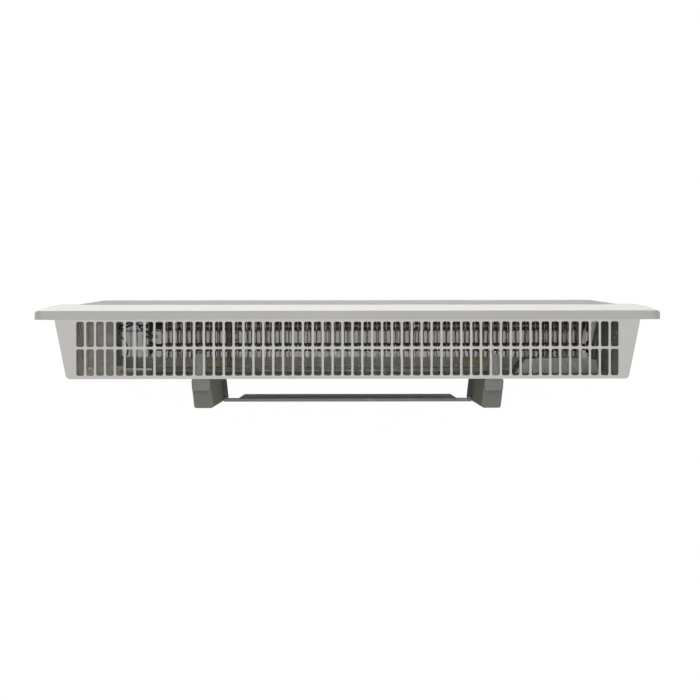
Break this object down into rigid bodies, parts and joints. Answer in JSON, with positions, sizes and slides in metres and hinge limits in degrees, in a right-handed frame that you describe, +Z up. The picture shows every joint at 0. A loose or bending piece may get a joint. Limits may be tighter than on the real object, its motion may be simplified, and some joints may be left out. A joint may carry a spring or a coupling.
{
  "type": "convector heater",
  "caption": "Wall-mounted convector heater: slotted steel casing, arched front panel, finned rods inside, side thermostat knob and rocker switches, hooked wall bracket.",
  "frame": {"origin": "centre of the bracket's four wall holes, on the wall plane", "axes": "+Z up, the front faces -Y, the wall is the plane Y = 0, +X towards the side with the controls"},
  "size_m": [0.635, 0.1121, 0.413],
  "materials": {
    "bracket_steel": "satin dark paint",
    "galvanised": "zinc coated",
    "casing_paint": "satin light grey powder coat",
    "panel_paint": "satin white powder coat",
    "inner_steel": "plain sheet",
    "dark_steel": "darkened by heat",
    "olive_steel": "satin",
    "cover_steel": "plain sheet",
    "rod_steel": "darkened sheath",
    "fin_alloy": "mill",
    "ceramic": "unglazed",
    "screw_steel": "bright",
    "link_brass": "plain",
    "black_plastic": "matte",
    "white_plastic": "satin",
    "brown_plastic": "matte",
    "red_plastic": "gloss",
    "block_plastic": "matte",
    "capillary_copper": "drawn",
    "blue_insulation": "satin",
    "brown_insulation": "satin",
    "earth_insulation": "satin"
  },
  "bodies": {
    "bracket": {"bracket_plate": "bracket_steel", "bracket_arm_left": "bracket_steel", "bracket_arm_right": "bracket_steel", "hook_left": "galvanised", "hook_right": "galvanised"},
    "heater": {"rear_tray": "casing_paint", "grip_pocket": "inner_steel", "top_grille": "casing_paint", "bottom_grille": "casing_paint", "front_panel": "panel_paint", "panel_screws": "screw_steel", "lower_catch_left": "olive_steel", "lower_catch_right": "olive_steel", "rear_shield": "inner_steel", "front_shield": "inner_steel", "heating_rod_front": "rod_steel", "heating_rod_rear": "rod_steel", "element_fins": "fin_alloy", "element_support_left": "dark_steel", "element_support_right": "dark_steel", "ceramic_bushes": "ceramic", "terminal_nuts": "screw_steel", "centre_terminal": "screw_steel", "post_link": "link_brass", "jumper_link": "link_brass", "cutout_strap": "dark_steel", "thermal_cutout": "black_plastic", "compartment_cover": "cover_steel", "compartment_wall": "inner_steel", "cover_screws": "link_brass", "control_fascia": "white_plastic", "thermostat_body": "brown_plastic", "switch_body": "black_plastic", "terminal_block": "block_plastic", "cord_gland": "black_plastic", "earth_stud": "link_brass", "capillary": "capillary_copper", "sensor_bulb": "capillary_copper", "wire_blue": "blue_insulation", "wire_brown": "brown_insulation", "wire_earth": "earth_insulation"},
    "knob": {"thermostat_knob": "white_plastic", "thermostat_shaft": "screw_steel"},
    "rocker_mains": {"rocker_mains": "red_plastic"},
    "rocker_half_power": {"rocker_half_power": "black_plastic"}
  },
  "joints": [
    {"name": "lift_off", "type": "slide", "parent": "bracket", "child": "heater", "axis": [0, 0, 1], "range_m": [0, 0.01]},
    {"name": "knob_turn", "type": "hinge", "parent": "heater", "child": "knob", "pos_m": [0.29, -0.05975, 0.098], "axis": [0.9806, 0.1958, 0], "range_deg": [-270, 0]},
    {"name": "rocker_mains_tilt", "type": "hinge", "parent": "heater", "child": "rocker_mains", "pos_m": [0.29098, -0.05955, 0.056], "axis": [-0.1958, 0.9806, 0], "range_deg": [-20, 0]},
    {"name": "rocker_half_power_tilt", "type": "hinge", "parent": "heater", "child": "rocker_half_power", "pos_m": [0.29098, -0.05955, 0.056], "axis": [-0.1958, 0.9806, 0], "range_deg": [-20, 0]}
  ]
}
